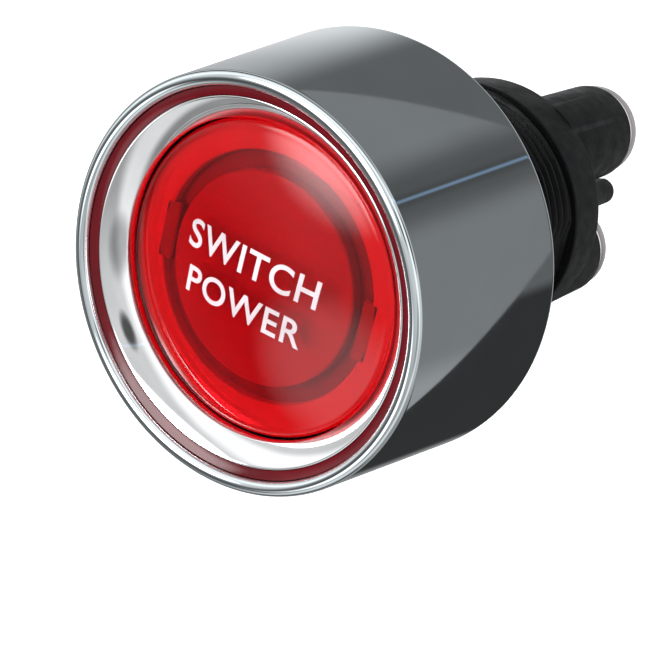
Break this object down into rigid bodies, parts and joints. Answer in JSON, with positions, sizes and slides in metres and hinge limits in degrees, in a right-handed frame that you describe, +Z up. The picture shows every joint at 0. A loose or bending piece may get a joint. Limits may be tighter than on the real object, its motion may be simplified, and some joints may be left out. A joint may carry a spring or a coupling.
{
  "type": "panel push button",
  "caption": "Illuminated panel push button with a domed red lens in a chromed conical bezel, a threaded barrel and a terminal base with screw posts.",
  "frame": {"origin": "centre of the gasket's rear sealing face, where the switch's axis meets the front of the panel", "axes": "+Y along the switch's axis into the panel, so the lens faces -Y; +Z up, as the legend reads; +X to the right seen from the front"},
  "size_m": [0.034, 0.0497, 0.034],
  "materials": {
    "chrome_bezel": "polished chrome plate over the moulded cone",
    "chrome_trim": "polished chrome plate, faintly satin in the cove",
    "rubber_seal": "matte black rubber",
    "rubber_gasket": "matte black rubber, smooth faces",
    "black_housing": "black glass-filled nylon, low sheen, threaded",
    "black_base": "black phenolic moulding, low sheen, fine moulding grain",
    "brass": "turned and stamped brass",
    "nickel_screw": "bright nickel plate, slightly rippled",
    "silver_contact": "silver alloy, burnished",
    "circuit_board": "green solder mask on glass-fibre board",
    "lamp": "red epoxy lamp body",
    "resistor_body": "black ceramic",
    "spring_steel": "drawn spring wire",
    "lens_red": "glossy translucent red acrylic, with a clear rim",
    "legend_red": "translucent red disc with a white printed legend",
    "carrier_red": "translucent red moulding",
    "clip_dark": "dark red moulded latch",
    "white_nylon": "natural nylon",
    "zinc_steel": "zinc-plated stamped steel",
    "copper": "stamped copper",
    "black_nut": "black moulded nylon"
  },
  "bodies": {
    "switch_body": {"bezel": "chrome_bezel", "trim_ring": "chrome_trim", "lens_seal": "rubber_seal", "housing": "black_housing", "panel_gasket": "rubber_gasket", "terminal_base": "black_base", "terminal_insert_start": "brass", "terminal_insert_supply": "brass", "terminal_insert_ground": "brass", "terminal_screw_start": "nickel_screw", "terminal_screw_supply": "nickel_screw", "terminal_screw_ground": "nickel_screw", "fixed_contact_start": "silver_contact", "fixed_contact_supply": "silver_contact", "supply_strip": "brass", "ground_strip": "brass", "led_board": "circuit_board", "led_1": "lamp", "led_2": "lamp", "led_3": "lamp", "resistor": "resistor_body", "return_spring": "spring_steel"},
    "button": {"lens_cap": "lens_red", "legend_disc": "legend_red", "button_carrier": "carrier_red", "lens_clip_left": "clip_dark", "lens_clip_right": "clip_dark", "plunger": "white_nylon", "retaining_clip": "zinc_steel", "contact_spring": "spring_steel"},
    "moving_contact": {"contact_disc": "copper"},
    "washer": {"lock_washer": "zinc_steel"},
    "nut": {"panel_nut": "black_nut"}
  },
  "joints": [
    {"name": "button_press", "type": "slide", "parent": "switch_body", "child": "button", "axis": [0, 1, 0], "range_m": [0, 0.0025], "stiffness_N_per_m": 900, "springref_m": -0.0025, "deforming": ["return_spring", "contact_spring"]},
    {"name": "contact_travel", "type": "slide", "parent": "switch_body", "child": "moving_contact", "axis": [0, 1, 0], "range_m": [0, 0.0015]},
    {"name": "washer_travel", "type": "slide", "parent": "switch_body", "child": "washer", "axis": [0, 1, 0], "range_m": [0, 0.003]},
    {"name": "nut_turn", "type": "hinge", "parent": "washer", "child": "nut", "pos_m": [0, 0.003, 0], "axis": [0, 1, 0], "range_deg": [0, 1080]}
  ],
  "couplings": [
    {"joint": "contact_travel", "follows": "button_press", "ratio": 0.6},
    {"joint": "nut_turn", "follows": "washer_travel", "rad_per_m": 6283.2}
  ]
}
